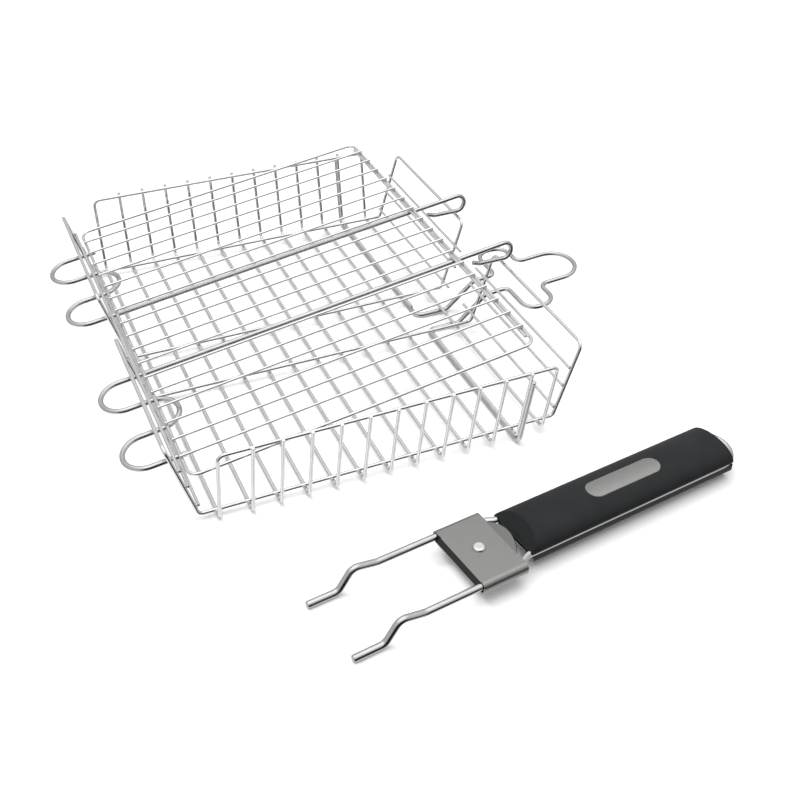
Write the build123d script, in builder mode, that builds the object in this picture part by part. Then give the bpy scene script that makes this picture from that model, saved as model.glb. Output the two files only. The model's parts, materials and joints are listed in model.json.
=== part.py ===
from build123d import *
import os
from math import atan2, cos, radians, sin

# Wire barbecue basket with a tilting lid, a fixed loop for the handle, and a separate handle.
# Millimetres, +Z up. The origin is under the middle of the basket's floor, on the surface that
# it stands on; +X points to the wall with the gap for the handle, +Y to the back wall.

# ---- driving dimensions: basket ----
WIRE_R = 1.2             # walls, floor and frames
BAR_R = 1.0              # short bars across the two end walls
WELD_GAP = 0.03          # welded wires lie this close to each other
PITCH = 18.0             # spacing of the cross wires
CROSS_COUNT = 10         # whole cross wires; a cut one takes the next place, over the loop wire
FLOOR_Y = 152.8          # cross wire's bend, from the middle
CUT_ENDS = (-21.0, 12.0) # where the cut cross wire stops, short of the loop wire's legs
WALL_RISE = 57.0         # height of the front and back rims
WALL_LEAN = 9.6          # how far the front and back walls lean out over that height
CROSS_TOP = 59.0         # cut ends of the cross wires
RIM_X = 110.0            # legs of the rim wire
END_X = 121.0            # foot of the end walls
END_TOP_X = 136.3        # top of the end walls
END_TOP_Z = 57.5
END_Y = 145.0            # outer legs of the end frames
GAP_Y = 25.0             # inner legs, each side of the handle gap
BAR_HEIGHTS = (11.0, 27.5, 40.5)
BAR_GAP_Y = 12.4         # bars of the gap wall reach in to here

# ---- driving dimensions: loop wire, for the handle ----
LOOP_R = 1.7
LOOP_TOP = 54.5          # cut ends, just under the rims
LOOP_Y = -6.5            # the loop stands a little off the basket's middle
LOOP_LEG_Y = 10.0        # legs, each side of the loop's middle
LOOP_SHOULDER_Y = 42.0
LOOP_HEAD_Y = 17.5
LOOP_X = (155.0, 178.5, 216.0)    # shoulders' two sides, end of the head
LOOP_Z = 19.5            # level of the shoulders' inner side
LOOP_RISE = 0.074        # the outer part climbs this much per millimetre outwards

# ---- driving dimensions: lid ----
LID_WIRE_R = 0.9
LID_RIM_R = 1.1
HOOK_R = 1.7
LID_X = -124.5           # left end of the lid
LID_Z = 38.3
LID_TILT = 8.65          # degrees, left end low
LID_LENGTH = 226.0
LID_HALF_Y = 149.5
MESH_Y = 2.0             # rim and lengthwise wires sit off the middle of the hook wires
LID_PITCH = 16.5
LID_WIRES = 17
TONGUE_PITCH = 29.0      # legs of the tongue loops
TONGUE_TIP = -31.5       # how far the loops stand out past the lid's end
TONGUE_ROOT = 11.5       # how far the bend between two loops reaches in
HOOK_Y = 37.0            # hook wires, each side of the middle
HOOK_TIP_X = 142.5
HOOK_REST = 0.3          # hook tails stop this far above the wall's top wire

# ---- driving dimensions: handle ----
HANDLE_TURN = 8.2        # degrees about +Z
PRONG_R = 2.2
PRONG_Y = 22.4           # prongs, each side of the handle's middle
PRONG_Z = 12.5           # level of the straight run
PRONG_EXTRA = 2.8        # the back prong is this much longer
GRIP_WIRE_Y = 16.1       # the same wire inside the grip
GRIP_START = 120.2
GRIP_END = 281.0
GRIP_HALF_Y = 18.4
LOWER_HALF_Y = 17.8      # lower shell, inside the wire that shows between the shells
GRIP_TOP_Z = 22.2
SEAM_LOW = 11.2          # the wire shows between the shells
SEAM_HIGH = 13.6
CAVITY_HALF_Y = 12.0
SCREW_X = (149.0, 256.0)
BOSS_R = 4.2
INLAY_X = 202.9
INLAY_LENGTH = 56.5
INLAY_WIDTH = 13.8

# ---- driving dimensions: sleeve ----
SLEEVE_START = 82.0
SLEEVE_LENGTH = 30.5
SLEEVE_HALF_Y = 25.7
SLEEVE_HALF_Z = 4.1
SLEEVE_Z = 11.7          # its top sheet lies just above the prongs
SHEET = 0.8
BLOCK_START = 82.1
BLOCK_LENGTH = 18.0
BLOCK_HALF_Y = 21.0
BLOCK_RUN = 0.06         # running clearance on the prongs
RIVET_X = 96.0
RIVET_R = 1.9

# The loop wire runs under the floor at one end, so the basket stands tilted by this slope.
STAND_X = (-RIM_X, PITCH * CROSS_COUNT / 2)
STAND_TILT = atan2(2 * LOOP_R + WELD_GAP, STAND_X[1] - STAND_X[0])
BASKET = Plane(
    origin=(0, 0, -STAND_X[0] * sin(STAND_TILT)),
    x_dir=(cos(STAND_TILT), 0, sin(STAND_TILT)),
    z_dir=(-sin(STAND_TILT), 0, cos(STAND_TILT)),
)
BASKET_MIDDLE = Plane(origin=BASKET.origin, z_dir=BASKET.x_dir)
# The lid, in the basket's own coordinates.
LID = Plane(
    origin=(LID_X, 0, LID_Z),
    x_dir=(cos(radians(LID_TILT)), 0, sin(radians(LID_TILT))),
    z_dir=(-sin(radians(LID_TILT)), 0, cos(radians(LID_TILT))),
)
# The handle lies beside the basket: origin between its prong tips, +X towards the grip.
HANDLE = Plane(
    origin=(-80.9, -256.8, 0),
    x_dir=(cos(radians(HANDLE_TURN)), sin(radians(HANDLE_TURN)), 0),
    z_dir=(0, 0, 1),
)
HANDLE_LENGTH = Axis(HANDLE.origin, HANDLE.x_dir)
# Upright plane along the handle: sketch x runs along it, sketch y is up.
HANDLE_MIDDLE = Plane(origin=HANDLE.origin, x_dir=HANDLE.x_dir, z_dir=-HANDLE.y_dir)

os.makedirs("parts", exist_ok=True)


def save(piece, name):
    """Label a finished piece and write its STEP file."""
    piece.part.label = name
    export_step(piece.part, f"parts/{name}.step")


def across(x):
    """Plane across the handle at x from the tips: sketch x is sideways, sketch y is up."""
    return Plane(
        origin=HANDLE.from_local_coords((x, 0, 0)),
        x_dir=HANDLE.y_dir,
        z_dir=HANDLE.x_dir,
    )


def bent_wire(points, bends, radius, about=None, end_round=0.0):
    """Wire bent along the points; `about` adds its mirror image, `end_round` rounds its ends."""
    with BuildPart() as wire:
        with BuildLine() as path:
            FilletPolyline(*points, radius=bends)
        with BuildSketch(Plane(origin=path.line @ 0, z_dir=path.line % 0)):
            Circle(radius)
        sweep(path=path.line)
        if about is not None:
            mirror(about=about)
        if end_round > 0:
            fillet(wire.faces().filter_by(GeomType.PLANE).edges(), end_round)
    return wire


def straight_wire(start, direction, length, radius):
    """Straight wire with its ends rounded off."""
    with BuildPart() as wire:
        with BuildSketch(Plane(origin=start, z_dir=direction)):
            Circle(radius)
        extrude(amount=length)
        fillet(wire.faces().filter_by(GeomType.PLANE).edges(), radius / 3)
    return wire


def on_basket(points):
    """Points given in the basket's own coordinates, placed in the model."""
    return [BASKET.from_local_coords(point) for point in points]


def on_lid(points):
    """Points given along, across and above the lid, placed in the model."""
    return on_basket([LID.from_local_coords(point) for point in points])


# ---- levels of the welded stack, in the basket's own coordinates ----
WALL_SLOPE = WALL_LEAN / (WALL_RISE - WIRE_R)
FRAME_Z = 3 * WIRE_R + WELD_GAP                     # frames lie on the cross wires
LOOP_FLOOR_Z = -(LOOP_R + WELD_GAP)                 # the loop wire lies under the cut wire
END_SLOPE = (END_TOP_X - END_X) / (END_TOP_Z - FRAME_Z)

# ==== basket ====

# Rim: one closed wire, top of the front wall, floor, top of the back wall, floor.
rim_foot_y = FLOOR_Y - (2 * WIRE_R + WELD_GAP) * (1 + WALL_SLOPE**2) ** 0.5
rim_top_y = rim_foot_y + WALL_LEAN
rim_points = (
    (0, rim_top_y, WALL_RISE),
    (RIM_X, rim_top_y, WALL_RISE),
    (RIM_X, rim_foot_y, WIRE_R),
    (RIM_X, -rim_foot_y, WIRE_R),
    (RIM_X, -rim_top_y, WALL_RISE),
    (0, -rim_top_y, WALL_RISE),
)
save(bent_wire(on_basket(rim_points), 4.5, WIRE_R, about=BASKET_MIDDLE), "wall_rim")

# Ten thin cross wires, each one bent wire up the back wall, across the floor, up the front.
cross_top_y = FLOOR_Y + (CROSS_TOP - WIRE_R) * WALL_SLOPE
for number in range(CROSS_COUNT):
    cross_x = PITCH * (number - CROSS_COUNT / 2)
    cross_points = (
        (cross_x, cross_top_y, CROSS_TOP),
        (cross_x, FLOOR_Y, WIRE_R),
        (cross_x, -FLOOR_Y, WIRE_R),
        (cross_x, -cross_top_y, CROSS_TOP),
    )
    cross_wire = bent_wire(on_basket(cross_points), 4.5, WIRE_R, end_round=0.4)
    save(cross_wire, f"cross_wire_{number + 1:02d}")

# The last cross wire is cut in two, where the loop wire under it turns off to the gap.
loop_x = STAND_X[1]
for side, end_y, name in ((-1, CUT_ENDS[0], "cut_wire_front"), (1, CUT_ENDS[1], "cut_wire_back")):
    cut_points = (
        (loop_x, side * cross_top_y, CROSS_TOP),
        (loop_x, side * FLOOR_Y, WIRE_R),
        (loop_x, end_y, WIRE_R),
    )
    save(bent_wire(on_basket(cut_points), 4.5, WIRE_R, end_round=0.4), name)

# Loop wire: up the front wall, under the floor, out through the gap and back, up the back
# wall. The handle's prongs hold it by the loop outside the gap.
loop_gap = (WIRE_R + LOOP_R + WELD_GAP) * (1 + WALL_SLOPE**2) ** 0.5
loop_foot_y = FLOOR_Y + loop_gap - (WIRE_R - LOOP_FLOOR_Z) * WALL_SLOPE
loop_top_y = loop_foot_y + (LOOP_TOP - LOOP_FLOOR_Z) * WALL_SLOPE
loop_half = (
    (LOOP_X[2], LOOP_HEAD_Y),
    (LOOP_X[1], LOOP_HEAD_Y),
    (LOOP_X[1], LOOP_SHOULDER_Y),
    (LOOP_X[0], LOOP_SHOULDER_Y),
    (LOOP_X[0], LOOP_LEG_Y),
)
outer_back = [(x, LOOP_Y + y, LOOP_Z + (x - LOOP_X[0]) * LOOP_RISE) for x, y in loop_half]
outer_front = [(x, LOOP_Y - y, LOOP_Z + (x - LOOP_X[0]) * LOOP_RISE) for x, y in loop_half]
legs = []
for side in (-1, 1):
    leg_y = LOOP_Y + side * LOOP_LEG_Y
    legs.append(
        [
            (loop_x, leg_y, LOOP_FLOOR_Z),
            (115, leg_y, LOOP_FLOOR_Z),
            (137, leg_y, LOOP_Z - 1.6),
        ]
    )
loop_points = [
    (loop_x, -loop_top_y, LOOP_TOP),
    (loop_x, -loop_foot_y, LOOP_FLOOR_Z),
    *legs[0],
    *reversed(outer_front),
    *outer_back,
    *reversed(legs[1]),
    (loop_x, loop_foot_y, LOOP_FLOOR_Z),
    (loop_x, loop_top_y, LOOP_TOP),
]
half_bends = [7, 6, 5, 6, 5, 10, 11, 6, 17]
loop_bends = half_bends + half_bends[::-1]
loop_wire = bent_wire(on_basket(loop_points), loop_bends, LOOP_R, end_round=0.6)
save(loop_wire, "loop_wire")

# End frames: a closed wire for each half, up both end walls and along the floor.
for side, name in ((-1, "end_frame_front"), (1, "end_frame_back")):
    frame_points = (
        (0, side * END_Y, FRAME_Z),
        (END_X, side * END_Y, FRAME_Z),
        (END_TOP_X, side * END_Y, END_TOP_Z),
        (END_TOP_X, side * GAP_Y, END_TOP_Z),
        (END_X, side * GAP_Y, FRAME_Z),
        (0, side * GAP_Y, FRAME_Z),
    )
    frame_bends = [3.5, 5, 5, 3.5]
    save(bent_wire(on_basket(frame_points), frame_bends, WIRE_R, about=BASKET_MIDDLE), name)

# Bars of the end walls, welded to the inner faces of the frames.
bar_inset = (WIRE_R + BAR_R + WELD_GAP) * (1 + END_SLOPE**2) ** 0.5
for number, bar_z in enumerate(BAR_HEIGHTS):
    bar_x = END_X + (bar_z - FRAME_Z) * END_SLOPE - bar_inset
    bar_runs = (
        (f"gap_bar_front_{number + 1}", bar_x, -END_Y - 0.5, -BAR_GAP_Y),
        (f"gap_bar_back_{number + 1}", bar_x, BAR_GAP_Y, END_Y + 0.5),
        (f"tongue_bar_{number + 1}", -bar_x, -END_Y - 0.5, END_Y + 0.5),
    )
    for name, x, start_y, end_y in bar_runs:
        bar_start = BASKET.from_local_coords((x, start_y, bar_z))
        save(straight_wire(bar_start, (0, 1, 0), end_y - start_y, BAR_R), name)

# ==== lid ====
rim_h = -(LID_WIRE_R + LID_RIM_R + WELD_GAP)
hook_h = rim_h - (LID_RIM_R + HOOK_R + WELD_GAP)
lid_rim_points = (
    (0, MESH_Y, rim_h),
    (0, MESH_Y + LID_HALF_Y, rim_h),
    (LID_LENGTH, MESH_Y + LID_HALF_Y, rim_h),
    (LID_LENGTH, MESH_Y, rim_h),
)
mesh_middle = Plane.XZ.offset(-MESH_Y)
save(bent_wire(on_lid(lid_rim_points), 7, LID_RIM_R, about=mesh_middle), "lid_rim")

for number in range(LID_WIRES):
    wire_y = MESH_Y + LID_PITCH * ((LID_WIRES - 1) / 2 - number)
    wire_start, wire_end = on_lid(((-0.9, wire_y, 0), (LID_LENGTH + 0.9, wire_y, 0)))
    lid_wire = straight_wire(wire_start, wire_end - wire_start, LID_LENGTH + 1.8, LID_WIRE_R)
    save(lid_wire, f"lid_wire_{number + 1:02d}")

# Brace: a second end wire, close beside the rim.
brace_x = LID_LENGTH - 2 * LID_RIM_R - WELD_GAP
brace_half = LID_HALF_Y - 8.5
brace_start = on_lid(((brace_x, MESH_Y - brace_half, rim_h),))[0]
save(straight_wire(brace_start, (0, 1, 0), 2 * brace_half, LID_RIM_R), "lid_brace")

# Hook wires: one bent wire each, two tongue loops at one end and a hook at the other.
tail_z = END_TOP_Z + WIRE_R + HOOK_R + HOOK_REST
hook_reach = (HOOK_TIP_X - LID_X + hook_h * sin(radians(LID_TILT))) / cos(radians(LID_TILT))
for side, name in ((-1, "hook_wire_front"), (1, "hook_wire_back")):
    loop_y = [side * (HOOK_Y + TONGUE_PITCH * step) for step in range(4)]
    hook_points = on_lid(
        (
            (4, loop_y[3], hook_h),
            (TONGUE_TIP, loop_y[3], hook_h),
            (TONGUE_TIP, loop_y[2], hook_h),
            (TONGUE_ROOT, loop_y[2], hook_h),
            (TONGUE_ROOT, loop_y[1], hook_h),
            (TONGUE_TIP, loop_y[1], hook_h),
            (TONGUE_TIP, loop_y[0], hook_h),
            (hook_reach, loop_y[0], hook_h),
        )
    )
    tail_points = (
        (HOOK_TIP_X, loop_y[0], tail_z),
        (118, loop_y[0], tail_z),
        (112.5, loop_y[0], tail_z + 1.8),
    )
    hook_points.extend(on_basket(tail_points))
    hook_bends = [TONGUE_PITCH / 2 - 0.1] * 6 + [5.8, 5.8, 6]
    save(bent_wire(hook_points, hook_bends, HOOK_R, end_round=0.6), name)

# ==== handle ====


def on_handle(points):
    """Points given along, across and above the handle, placed in the basket's frame."""
    return [HANDLE.from_local_coords(point) for point in points]


# Frame: one bent wire, two prongs with a wave near the tips and a loop at the back. The back
# prong reaches a little further than the front one.
prong_halves = []
for side, extra in ((-1, 0.0), (1, PRONG_EXTRA)):
    prong_halves.append(
        [
            (-extra, side * PRONG_Y, PRONG_R + 0.05),
            (19.9 - extra, side * PRONG_Y, PRONG_R + 0.05),
            (28.9 - extra, side * PRONG_Y, 16.0),
            (44.8 - extra, side * PRONG_Y, PRONG_Z),
            (105, side * PRONG_Y, PRONG_Z),
            (119, side * GRIP_WIRE_Y, PRONG_Z),
            (289.3, side * GRIP_WIRE_Y, PRONG_Z),
        ]
    )
prong_bends = [5.5, 6, 14, 8, 8, 15.9]
prong_points = prong_halves[0] + prong_halves[1][::-1]
handle_frame = bent_wire(
    on_handle(prong_points), prong_bends + prong_bends[::-1], PRONG_R, end_round=0.9
)
save(handle_frame, "handle_frame")

# Room for that wire in both shells of the grip.
groove_points = prong_halves[0][4:] + prong_halves[1][:3:-1]
groove_bends = prong_bends[4:] + prong_bends[:3:-1]
wire_groove = bent_wire(on_handle(groove_points), groove_bends, PRONG_R + 0.05)

# Lower shell of the grip: a hollow tray with rounded sides and two bosses, its front undercut.
with BuildPart() as grip_lower:
    with BuildSketch(across(GRIP_START)):
        with BuildLine():
            FilletPolyline(
                (-LOWER_HALF_Y, SEAM_LOW),
                (-LOWER_HALF_Y, 6),
                (-12, 0),
                (12, 0),
                (LOWER_HALF_Y, 6),
                (LOWER_HALF_Y, SEAM_LOW),
                radius=[4, 6, 6, 4],
            )
            Line((LOWER_HALF_Y, SEAM_LOW), (-LOWER_HALF_Y, SEAM_LOW))
        make_face()
    extrude(amount=GRIP_END - GRIP_START)
    with BuildSketch(HANDLE_MIDDLE):
        with BuildLine():
            Polyline(
                (GRIP_START - 1, SEAM_LOW + 1),
                (GRIP_START, SEAM_LOW + 1),
                (GRIP_START + 6.5, 0),
                (GRIP_START + 6.5, -1),
                (GRIP_START - 1, -1),
                close=True,
            )
        make_face()
    extrude(amount=GRIP_HALF_Y, both=True, mode=Mode.SUBTRACT)
    with BuildSketch(HANDLE.offset(SEAM_LOW)):
        with Locations(((GRIP_START + GRIP_END) / 2 + 8, 0)):
            RectangleRounded(GRIP_END - GRIP_START - 24, 2 * CAVITY_HALF_Y, 3)
    extrude(amount=2.8 - SEAM_LOW, mode=Mode.SUBTRACT)
    with BuildSketch(HANDLE.offset(2.5)):
        with Locations(*[(x, 0) for x in SCREW_X]):
            Circle(BOSS_R)
    extrude(amount=SEAM_HIGH - 2.5 - 0.05)
    with BuildSketch(HANDLE):
        with Locations(*[(x, 0) for x in SCREW_X]):
            Circle(3.2)
    extrude(amount=4, mode=Mode.SUBTRACT)
    with BuildSketch(HANDLE):
        with Locations(*[(x, 0) for x in SCREW_X]):
            Circle(1.7)
    extrude(amount=SEAM_HIGH, mode=Mode.SUBTRACT)
    add(wire_groove.part, mode=Mode.SUBTRACT)
save(grip_lower, "grip_lower")

# Upper shell: arched, hollow, with a sloping front, two bosses and a recess for the inlay.
with BuildPart() as grip_upper:
    with BuildSketch(across(GRIP_START)):
        with BuildLine():
            EllipticalCenterArc(
                (0, SEAM_HIGH), GRIP_HALF_Y, GRIP_TOP_Z - SEAM_HIGH, start_angle=0, arc_size=180
            )
            Line((-GRIP_HALF_Y, SEAM_HIGH), (GRIP_HALF_Y, SEAM_HIGH))
        make_face()
    extrude(amount=GRIP_END - GRIP_START)
    rear_edges = grip_upper.faces().sort_by(HANDLE_LENGTH)[-1].edges()
    fillet(rear_edges.filter_by(GeomType.ELLIPSE), 1.6)
    with BuildSketch(HANDLE_MIDDLE):
        with BuildLine():
            Polyline(
                (GRIP_START - 1, SEAM_HIGH + 0.2),
                (GRIP_START + 8.5, GRIP_TOP_Z + 0.5),
                (GRIP_START - 1, GRIP_TOP_Z + 0.5),
                close=True,
            )
        make_face()
    extrude(amount=GRIP_HALF_Y + 1, both=True, mode=Mode.SUBTRACT)
    with BuildSketch(HANDLE.offset(SEAM_HIGH)):
        with Locations(((GRIP_START + GRIP_END) / 2 + 8, 0)):
            RectangleRounded(GRIP_END - GRIP_START - 24, 2 * CAVITY_HALF_Y, 3)
    extrude(amount=18.4 - SEAM_HIGH, mode=Mode.SUBTRACT)
    with BuildSketch(HANDLE.offset(SEAM_HIGH)):
        with Locations(*[(x, 0) for x in SCREW_X]):
            Circle(BOSS_R)
    extrude(amount=5)
    with BuildSketch(HANDLE.offset(SEAM_HIGH)):
        with Locations(*[(x, 0) for x in SCREW_X]):
            Circle(1.5)
    extrude(amount=5, mode=Mode.SUBTRACT)
    with BuildSketch(HANDLE.offset(20.2)):
        with Locations((INLAY_X, 0)):
            SlotOverall(INLAY_LENGTH, INLAY_WIDTH)
    extrude(amount=3, mode=Mode.SUBTRACT)
    add(wire_groove.part, mode=Mode.SUBTRACT)
save(grip_upper, "grip_upper")

# Inlay: a plate that follows the arch, a little proud of it.
with BuildPart() as inlay_plate:
    with BuildSketch(across(INLAY_X - INLAY_LENGTH / 2)):
        with Locations((0, SEAM_HIGH)):
            Ellipse(GRIP_HALF_Y + 0.15, GRIP_TOP_Z - SEAM_HIGH + 0.15)
    extrude(amount=INLAY_LENGTH)
    with BuildSketch(HANDLE.offset(20.22)):
        with Locations((INLAY_X, 0)):
            SlotOverall(INLAY_LENGTH - 0.1, INLAY_WIDTH - 0.1)
    extrude(amount=3, mode=Mode.INTERSECT)
    chamfer(inlay_plate.faces().sort_by(Axis.Z)[-1].edges(), 0.35)
save(inlay_plate, "inlay_plate")

with BuildPart() as grip_screws:
    with BuildSketch(HANDLE.offset(2.2)):
        with Locations(*[(x, 0) for x in SCREW_X]):
            Circle(3)
    extrude(amount=1.75)
    with BuildSketch(HANDLE.offset(3.9)):
        with Locations(*[(x, 0) for x in SCREW_X]):
            Circle(1.45)
    extrude(amount=13)
save(grip_screws, "grip_screws")

# ==== sleeve that slides along the prongs ====
with BuildPart() as sleeve_wrap:
    with BuildSketch(across(SLEEVE_START)):
        with Locations((0, SLEEVE_Z)):
            RectangleRounded(2 * SLEEVE_HALF_Y, 2 * SLEEVE_HALF_Z, 3.4)
            RectangleRounded(
                2 * (SLEEVE_HALF_Y - SHEET),
                2 * (SLEEVE_HALF_Z - SHEET),
                2.6,
                mode=Mode.SUBTRACT,
            )
        with Locations((0, SLEEVE_Z - SLEEVE_HALF_Z)):
            Rectangle(1.2, 4, mode=Mode.SUBTRACT)
    extrude(amount=SLEEVE_LENGTH)
    thumb_tab = Plane(
        origin=HANDLE.from_local_coords(
            (SLEEVE_START + SLEEVE_LENGTH - 0.6, 0, SLEEVE_Z + SLEEVE_HALF_Z - 0.5)
        ),
        x_dir=HANDLE.y_dir,
        z_dir=HANDLE.x_dir - HANDLE.z_dir,
    )
    with BuildSketch(thumb_tab):
        with BuildLine():
            Line((-15, 0), (15, 0))
            ThreePointArc((-15, 0), (0, 6), (15, 0))
        make_face()
    extrude(amount=SHEET / 2, both=True)
    with BuildSketch(HANDLE):
        with Locations((RIVET_X, 0)):
            Circle(RIVET_R + 0.03)
    extrude(amount=20, mode=Mode.SUBTRACT)
save(sleeve_wrap, "sleeve_wrap")

# Guide block inside the sleeve, with a channel for each prong.
with BuildPart() as sleeve_block:
    with BuildSketch(across(BLOCK_START)):
        with Locations((0, SLEEVE_Z)):
            Rectangle(2 * BLOCK_HALF_Y, 2 * (SLEEVE_HALF_Z - SHEET) - 0.06)
        with Locations((-PRONG_Y, PRONG_Z), (PRONG_Y, PRONG_Z)):
            Circle(PRONG_R + BLOCK_RUN, mode=Mode.SUBTRACT)
    extrude(amount=BLOCK_LENGTH)
    with BuildSketch(HANDLE):
        with Locations((RIVET_X, 0)):
            Circle(RIVET_R + 0.03)
    extrude(amount=20, mode=Mode.SUBTRACT)
save(sleeve_block, "sleeve_block")

# Rivet: domed head above, shank through the block, flat head below.
with BuildPart() as sleeve_rivet:
    with BuildSketch(HANDLE.offset(SLEEVE_Z - SLEEVE_HALF_Z - 0.03)):
        with Locations((RIVET_X, 0)):
            Circle(RIVET_R)
    extrude(amount=2 * SLEEVE_HALF_Z + 0.06)
    with BuildSketch(HANDLE.offset(SLEEVE_Z + SLEEVE_HALF_Z + 0.03)):
        with Locations((RIVET_X, 0)):
            Circle(3.9)
    extrude(amount=1.7)
    fillet(sleeve_rivet.edges().sort_by(Axis.Z)[-1], 1.5)
    with BuildSketch(HANDLE.offset(SLEEVE_Z - SLEEVE_HALF_Z - 0.03)):
        with Locations((RIVET_X, 0)):
            Circle(3.4)
    extrude(amount=-1.2)
save(sleeve_rivet, "sleeve_rivet")
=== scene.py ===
import json
import math
import bmesh
import bpy
from mathutils import Matrix, Vector


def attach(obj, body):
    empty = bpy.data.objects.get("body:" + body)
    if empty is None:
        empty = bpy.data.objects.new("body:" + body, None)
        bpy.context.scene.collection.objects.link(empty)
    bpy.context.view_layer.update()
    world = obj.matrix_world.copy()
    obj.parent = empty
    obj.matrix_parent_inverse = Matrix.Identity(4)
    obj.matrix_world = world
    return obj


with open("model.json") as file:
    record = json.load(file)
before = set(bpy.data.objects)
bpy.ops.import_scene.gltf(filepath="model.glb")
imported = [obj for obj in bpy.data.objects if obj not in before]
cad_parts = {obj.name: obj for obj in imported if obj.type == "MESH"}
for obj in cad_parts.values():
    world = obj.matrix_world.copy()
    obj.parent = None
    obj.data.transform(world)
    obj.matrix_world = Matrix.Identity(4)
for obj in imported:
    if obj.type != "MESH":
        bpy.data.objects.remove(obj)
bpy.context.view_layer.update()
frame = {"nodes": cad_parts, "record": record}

MM = 0.001

# ---------------------------------------------------------------- layout, in millimetres
# The same dimensions as the CAD part, where a weld needs its place.
WIRE_R = 1.2
LOOP_R = 1.7
GAP = 0.03               # between two wires that are welded together
PITCH = 18.0
CUT_X = 90.0
CROSS_Y = 152.8
RIM_X = 110.0
END_X = 121.0
END_TOP_X = 136.3
END_TOP_Z = 57.5
RIM_TOP_Z = 57.0
FRAME_Z = 3 * WIRE_R + GAP
WALL_SLOPE = 9.6 / (RIM_TOP_Z - WIRE_R)
END_SLOPE = (END_TOP_X - END_X) / (END_TOP_Z - FRAME_Z)
FRAME_LEGS = (-145.0, -25.0, 25.0, 145.0)
BAR_HEIGHTS = (11.0, 27.5, 40.5)
LOOP_WELD_HEIGHTS = (8.0, 46.0)
LOOP_WELD_Y = (-138.0, -84.0, -27.0, 18.0, 84.0, 138.0)
STAND_TILT = math.atan2(2 * LOOP_R + GAP, CUT_X + RIM_X)
LID_WIRE_R = 0.9
LID_RIM_R = 1.1
LID_X = -124.5
LID_Z = 38.3
LID_TILT = math.radians(8.65)
LID_LENGTH = 226.0
LID_PITCH = 16.5
LID_WIRES = 17
MESH_Y = 2.0
HOOK_WELD_Y = (37.0, 66.0, 95.0, 124.0)
BRACE_WELD_Y = (-138.0, -80.0, 0.0, 80.0, 141.0)
HANDLE_TURN = math.radians(8.2)

# Half sizes of a weld bead, along one wire, along the other and across both.
CROSS_BEAD = (1.25, 1.25, 1.05)
SEAM_BEAD = (3.2, 1.1, 1.0)
BAR_BEAD = (1.2, 1.2, 1.0)
LID_BEAD = (1.1, 1.1, 0.9)
HOOK_BEAD = (1.4, 1.3, 1.0)
BRACE_BEAD = (2.4, 0.9, 0.9)


# ---------------------------------------------------------------- node helpers
def new_material(name):
    """Empty node material with its Principled shader, and the node tree to add nodes to."""
    mat = bpy.data.materials.new(name)
    mat.use_nodes = True
    tree = mat.node_tree
    tree.nodes.clear()
    out = tree.nodes.new("ShaderNodeOutputMaterial")
    shader = tree.nodes.new("ShaderNodeBsdfPrincipled")
    tree.links.new(shader.outputs[0], out.inputs[0])
    return mat, tree, shader


def add_node(tree, kind, inputs=None, **settings):
    """Add a node, set its properties, then its inputs: a value, or a socket to link."""
    node = tree.nodes.new(kind)
    for key, value in settings.items():
        setattr(node, key, value)
    for key, value in (inputs or {}).items():
        if isinstance(value, bpy.types.NodeSocket):
            tree.links.new(value, node.inputs[key])
        else:
            node.inputs[key].default_value = value
    return node


def object_coords(tree, scale=(1, 1, 1), turn=0.0):
    """Object coordinates, turned about Z and stretched."""
    coords = add_node(tree, "ShaderNodeTexCoord")
    mapping = add_node(
        tree,
        "ShaderNodeMapping",
        {"Vector": coords.outputs["Object"], "Rotation": (0, 0, turn), "Scale": scale},
    )
    return mapping.outputs[0]


def noise(tree, vector, scale, detail=3.0, rough=0.5):
    """Noise value between 0 and 1."""
    node = add_node(
        tree,
        "ShaderNodeTexNoise",
        {"Vector": vector, "Scale": scale, "Detail": detail, "Roughness": rough},
    )
    return node.outputs[0]


def spread(tree, value, low, high, start=0.3, end=0.7):
    """Map a noise value onto a range of numbers."""
    node = add_node(
        tree,
        "ShaderNodeMapRange",
        {"Value": value, "From Min": start, "From Max": end, "To Min": low, "To Max": high},
    )
    return node.outputs[0]


def blend_colours(tree, factor, first, second):
    """Colour between two fixed colours."""
    node = add_node(
        tree,
        "ShaderNodeMix",
        {0: factor, 6: (*first, 1), 7: (*second, 1)},
        data_type="RGBA",
    )
    return node.outputs[2]


def bump(tree, height, strength, distance):
    node = add_node(
        tree, "ShaderNodeBump", {"Height": height, "Strength": strength, "Distance": distance}
    )
    return node.outputs[0]


def grey_ramp(tree, value, stops):
    """Turn a value into a grey level; the stops are pairs of position and level."""
    node = add_node(tree, "ShaderNodeValToRGB", {0: value})
    elements = node.color_ramp.elements
    for place, _ in stops[1:-1]:
        elements.new(place)
    for element, (place, level) in zip(elements, stops):
        element.position = place
        element.color = (level, level, level, 1)
    return node.outputs[0]


def wire_material(name, dark, light, rough_low, rough_high):
    """Bright plated wire: faint cloudy plating, drawing marks and small pits."""
    mat, tree, shader = new_material(name)
    vector = object_coords(tree)
    cloud = noise(tree, vector, 90.0, 4.0, 0.6)
    marks = noise(tree, vector, 900.0, 3.0, 0.6)
    colour = blend_colours(tree, spread(tree, cloud, 0.0, 1.0), dark, light)
    tree.links.new(colour, shader.inputs["Base Color"])
    tree.links.new(spread(tree, marks, rough_low, rough_high), shader.inputs["Roughness"])
    tree.links.new(bump(tree, marks, 0.12, 0.00008), shader.inputs["Normal"])
    shader.inputs["Metallic"].default_value = 1.0
    shader.inputs["Specular Tint"].default_value = (0.7, 0.7, 0.7, 1)
    return mat


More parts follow.
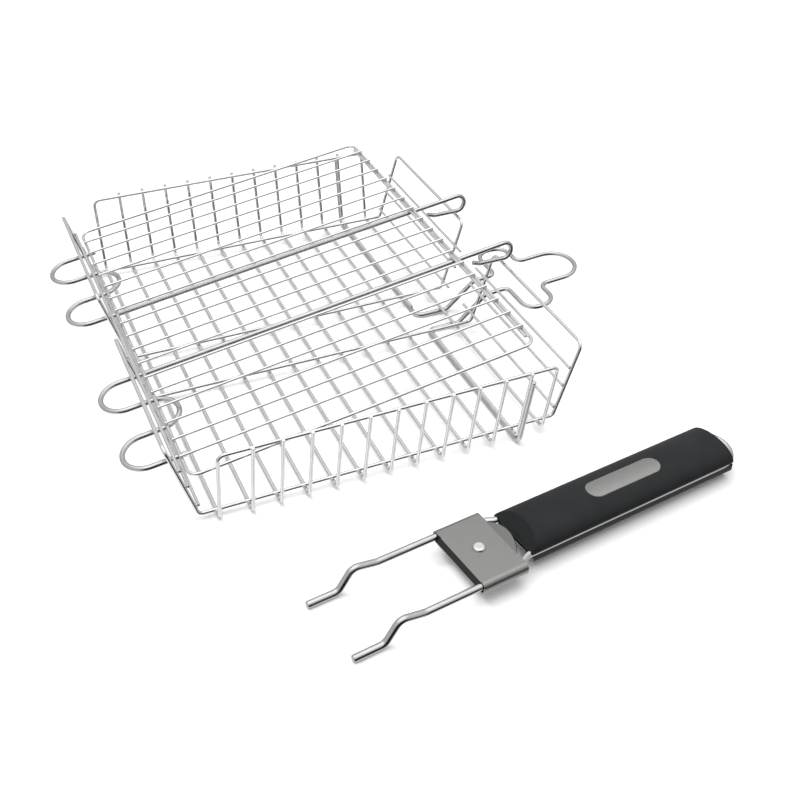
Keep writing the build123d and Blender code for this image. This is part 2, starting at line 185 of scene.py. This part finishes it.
def satin_steel(name, dark, light, rough_low, rough_high):
    """Sheet steel with fine rolled grain along the handle."""
    mat, tree, shader = new_material(name)
    vector = object_coords(tree, (0.05, 1.0, 1.0), -HANDLE_TURN)
    lines = noise(tree, vector, 2600.0, 3.0, 0.65)
    tree.links.new(
        blend_colours(tree, spread(tree, lines, 0.0, 1.0), dark, light),
        shader.inputs["Base Color"],
    )
    tree.links.new(spread(tree, lines, rough_low, rough_high), shader.inputs["Roughness"])
    tree.links.new(bump(tree, lines, 0.12, 0.00005), shader.inputs["Normal"])
    shader.inputs["Metallic"].default_value = 1.0
    return mat


def soft_plastic(name, dark, light, rough_low, rough_high):
    """Moulded plastic with a fine even grain and slight cloudiness."""
    mat, tree, shader = new_material(name)
    vector = object_coords(tree)
    fine = noise(tree, vector, 2200.0, 2.0, 0.5)
    cloud = noise(tree, vector, 55.0, 4.0, 0.6)
    tree.links.new(
        blend_colours(tree, spread(tree, cloud, 0.0, 1.0), dark, light),
        shader.inputs["Base Color"],
    )
    tree.links.new(spread(tree, fine, rough_low, rough_high), shader.inputs["Roughness"])
    tree.links.new(bump(tree, fine, 0.35, 0.00006), shader.inputs["Normal"])
    shader.inputs["Specular IOR Level"].default_value = 0.27
    return mat


# ---------------------------------------------------------------- materials in use
thin_chrome = wire_material("thin_chrome", (0.83, 0.83, 0.83), (0.92, 0.92, 0.92), 0.15, 0.24)
heavy_chrome = wire_material("heavy_chrome", (0.58, 0.58, 0.58), (0.68, 0.68, 0.68), 0.10, 0.18)
weld_metal = wire_material("weld_metal", (0.64, 0.64, 0.64), (0.80, 0.79, 0.78), 0.22, 0.38)
grip_black = soft_plastic("grip_black", (0.006, 0.007, 0.008), (0.010, 0.011, 0.012), 0.42, 0.56)
guide_black = soft_plastic("guide_black", (0.003, 0.003, 0.003), (0.006, 0.006, 0.006), 0.5, 0.65)
sleeve_steel = satin_steel("sleeve_steel", (0.31, 0.31, 0.30), (0.36, 0.36, 0.35), 0.26, 0.36)
inlay_steel = satin_steel("inlay_steel", (0.33, 0.33, 0.32), (0.39, 0.39, 0.38), 0.24, 0.34)
rivet_steel = wire_material("rivet_steel", (0.74, 0.74, 0.74), (0.86, 0.86, 0.86), 0.12, 0.20)

SLOT_MATERIALS = {
    "thin_wire": thin_chrome,
    "heavy_wire": heavy_chrome,
    "grip": grip_black,
    "inlay": inlay_steel,
    "fastener": rivet_steel,
    "sleeve": sleeve_steel,
    "guide": guide_black,
    "rivet": rivet_steel,
}
for row in frame["record"]["subparts"]:
    node = frame["nodes"][row["node"]]
    for material_slot in node.material_slots:
        material_slot.material = SLOT_MATERIALS[row["material_slot"]]


# ---------------------------------------------------------------- welds
def bead(mesh, centre, along_a, along_b, size):
    """Add one rounded weld bead to a mesh, where two wires of given directions cross."""
    normal = along_a.cross(along_b).normalized()
    side = normal.cross(along_a).normalized()
    turn = Matrix((along_a.normalized(), side, normal)).transposed().to_4x4()
    scale = Matrix.Diagonal((*(half * MM for half in size), 1))
    place = Matrix.Translation(Vector(centre) * MM) @ turn @ scale
    bmesh.ops.create_icosphere(mesh, subdivisions=2, radius=1.0, matrix=place)


def weld_object(name, beads, body):
    """Join beads in one visible piece that rides on a body."""
    mesh = bmesh.new()
    for entry in beads:
        bead(mesh, *entry)
    data = bpy.data.meshes.new(name)
    for face in mesh.faces:
        face.smooth = True
    mesh.to_mesh(data)
    mesh.free()
    obj = bpy.data.objects.new(name, data)
    bpy.context.collection.objects.link(obj)
    data.materials.append(weld_metal)
    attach(obj, body)


tilted = Matrix.Translation((0, 0, RIM_X * math.sin(STAND_TILT))) @ Matrix.Rotation(
    -STAND_TILT, 4, "Y"
)
turned = tilted.to_3x3()
on_lid_plane = Matrix.Translation((LID_X, 0, LID_Z)) @ Matrix.Rotation(-LID_TILT, 4, "Y")


def on_basket(x, y, z):
    """A point in the basket's own coordinates, placed in the frame."""
    return tilted @ Vector((x, y, z))


def on_lid(s, y, h):
    """A point along, across and above the lid, placed in the frame."""
    return tilted @ on_lid_plane @ Vector((s, y, h))


X, Y = turned @ Vector((1, 0, 0)), Vector((0, 1, 0))
cross_x = [PITCH * (k - 5) for k in range(10)] + [CUT_X]
floor_z = 2 * WIRE_R + GAP / 2
basket_beads = []
for x in cross_x + [-RIM_X, RIM_X]:
    for y in FRAME_LEGS:
        basket_beads.append((on_basket(x, y, floor_z), X, Y, CROSS_BEAD))
for side in (-1, 1):
    wall = Vector((0, side * WALL_SLOPE, 1)).normalized()
    inward = Vector((0, -side, WALL_SLOPE)).normalized()
    for x in cross_x:
        outer = Vector((x, side * (CROSS_Y + (RIM_TOP_Z - WIRE_R) * WALL_SLOPE), RIM_TOP_Z))
        centre = on_basket(*(outer + inward * (WIRE_R + GAP / 2)))
        basket_beads.append((centre, X, turned @ wall, CROSS_BEAD))
    for z in LOOP_WELD_HEIGHTS:
        outer = Vector((CUT_X, side * (CROSS_Y + (z - WIRE_R) * WALL_SLOPE), z))
        centre = on_basket(*(outer - inward * (WIRE_R + GAP / 2)))
        basket_beads.append((centre, turned @ wall, X, SEAM_BEAD))
for y in LOOP_WELD_Y:
    basket_beads.append((on_basket(CUT_X, y, -GAP / 2), Y, X, SEAM_BEAD))
for end in (-1, 1):
    wall = Vector((end * END_SLOPE, 0, 1)).normalized()
    inward = Vector((-end, 0, END_SLOPE)).normalized()
    for z in BAR_HEIGHTS:
        for y in FRAME_LEGS:
            leg = Vector((end * (END_X + (z - FRAME_Z) * END_SLOPE), y, z))
            centre = on_basket(*(leg + inward * (WIRE_R + GAP / 2)))
            basket_beads.append((centre, Y, turned @ wall, BAR_BEAD))
weld_object("basket_welds", basket_beads, "basket")

lid_x = (tilted @ on_lid_plane).to_3x3() @ Vector((1, 0, 0))
rim_h = -(LID_WIRE_R + LID_RIM_R + GAP)
brace_s = LID_LENGTH - 2 * LID_RIM_R - GAP
lid_beads = []
for k in range(LID_WIRES):
    for s in (0.0, LID_LENGTH):
        centre = on_lid(s, MESH_Y + LID_PITCH * (LID_WIRES // 2 - k), -LID_WIRE_R - GAP / 2)
        lid_beads.append((centre, lid_x, Y, LID_BEAD))
for side in (-1, 1):
    for y in HOOK_WELD_Y:
        lid_beads.append((on_lid(0, side * y, rim_h - LID_RIM_R), lid_x, Y, HOOK_BEAD))
    for s in (brace_s, LID_LENGTH):
        centre = on_lid(s, side * HOOK_WELD_Y[0], rim_h - LID_RIM_R)
        lid_beads.append((centre, lid_x, Y, HOOK_BEAD))
for y in BRACE_WELD_Y:
    centre = on_lid(LID_LENGTH - LID_RIM_R - GAP / 2, y, rim_h)
    lid_beads.append((centre, Y, lid_x, BRACE_BEAD))
weld_object("lid_welds", lid_beads, "lid")

# ---------------------------------------------------------------- stage, light, camera, in metres
FLOOR_HALF = 4.0
FLOOR_Z = -0.0002
corners = [(-1, -1), (1, -1), (1, 1), (-1, 1)]
floor_mesh = bpy.data.meshes.new("floor")
floor_mesh.from_pydata([(x * FLOOR_HALF, y * FLOOR_HALF, 0) for x, y in corners], [], [(0, 1, 2, 3)])
floor = bpy.data.objects.new("floor", floor_mesh)
bpy.context.collection.objects.link(floor)
floor.location.z = FLOOR_Z
floor_mat, tree, shader = new_material("floor_white")
grain = noise(tree, object_coords(tree), 30.0, 3.0, 0.5)
tree.links.new(
    blend_colours(tree, grain, (0.93, 0.93, 0.93), (0.95, 0.95, 0.95)),
    shader.inputs["Base Color"],
)
shader.inputs["Roughness"].default_value = 0.75
shader.inputs["Specular IOR Level"].default_value = 0.2
floor_mesh.materials.append(floor_mat)
floor.visible_glossy = False


def area_light(name, place, size, power):
    """Square light aimed at the origin, left out of reflections."""
    data = bpy.data.lights.new(name, "AREA")
    data.energy = power
    data.size = size
    obj = bpy.data.objects.new(name, data)
    obj.location = place
    obj.rotation_euler = (-Vector(place)).to_track_quat("-Z", "Y").to_euler()
    obj.visible_glossy = False
    bpy.context.collection.objects.link(obj)


area_light("soft_top", (-0.2, 0.3, 1.9), 2.0, 27.0)
area_light("key", (-0.9, 0.9, 1.5), 0.45, 9.0)

# What the metal reflects: grey levels by height, from straight down (0) to straight up (1),
# and a dark part at the front, by the cosine of the angle to it.
ROOM_LEVELS = ((0.0, 1.0), (0.14, 0.95), (0.27, 0.5), (0.5, 0.58), (0.81, 0.7), (0.975, 1.5))
FRONT = (0.0, -0.97, -0.25)
FRONT_LEVELS = ((0.62, 1.0), (0.80, 0.03))

world = bpy.data.worlds.new("studio")
bpy.context.scene.world = world
world.use_nodes = True
wtree = world.node_tree
wtree.nodes.clear()
wout = wtree.nodes.new("ShaderNodeOutputWorld")
wback = wtree.nodes.new("ShaderNodeBackground")
wtree.links.new(wback.outputs[0], wout.inputs[0])
wcoords = add_node(wtree, "ShaderNodeTexCoord")
wsplit = add_node(wtree, "ShaderNodeSeparateXYZ", {0: wcoords.outputs["Generated"]})
wheight = add_node(
    wtree,
    "ShaderNodeMath",
    {0: wsplit.outputs[2], 1: 0.5, 2: 0.5},
    operation="MULTIPLY_ADD",
)
wroom = grey_ramp(wtree, wheight.outputs[0], ROOM_LEVELS)
wdot = add_node(
    wtree,
    "ShaderNodeVectorMath",
    {0: wcoords.outputs["Generated"], 1: FRONT},
    operation="DOT_PRODUCT",
)
wdark = grey_ramp(wtree, wdot.outputs["Value"], FRONT_LEVELS)
wmix = add_node(
    wtree,
    "ShaderNodeMix",
    {0: 1.0, 6: wroom, 7: wdark},
    data_type="RGBA",
    blend_type="MULTIPLY",
)
# The camera itself sees a plain white backdrop.
wpath = add_node(wtree, "ShaderNodeLightPath")
wseen = add_node(
    wtree,
    "ShaderNodeMix",
    {0: wpath.outputs["Is Camera Ray"], 6: wmix.outputs[2], 7: (1, 1, 1, 1)},
    data_type="RGBA",
)
wtree.links.new(wseen.outputs[2], wback.inputs[0])
wback.inputs[1].default_value = 1.0

# The camera's own axes and place, at the photograph's viewing angle.
right = Vector((0.911453, -0.409703, 0.037373))
up = Vector((0.224668, 0.571787, 0.789040))
back = Vector((-0.344641, -0.710776, 0.613204))
camera_data = bpy.data.cameras.new("camera")
camera_data.sensor_width = 36.0
camera_data.lens = 50.54
camera_data.clip_start = 0.05
camera_data.clip_end = 30.0
camera = bpy.data.objects.new("camera", camera_data)
camera.matrix_world = Matrix.Translation((-0.226943, -0.628946, 0.470049)) @ Matrix(
    (right, up, back)
).transposed().to_4x4()
bpy.context.collection.objects.link(camera)
bpy.context.scene.camera = camera
bpy.context.scene.view_settings.view_transform = "Standard"
bpy.context.scene.view_settings.look = "None"
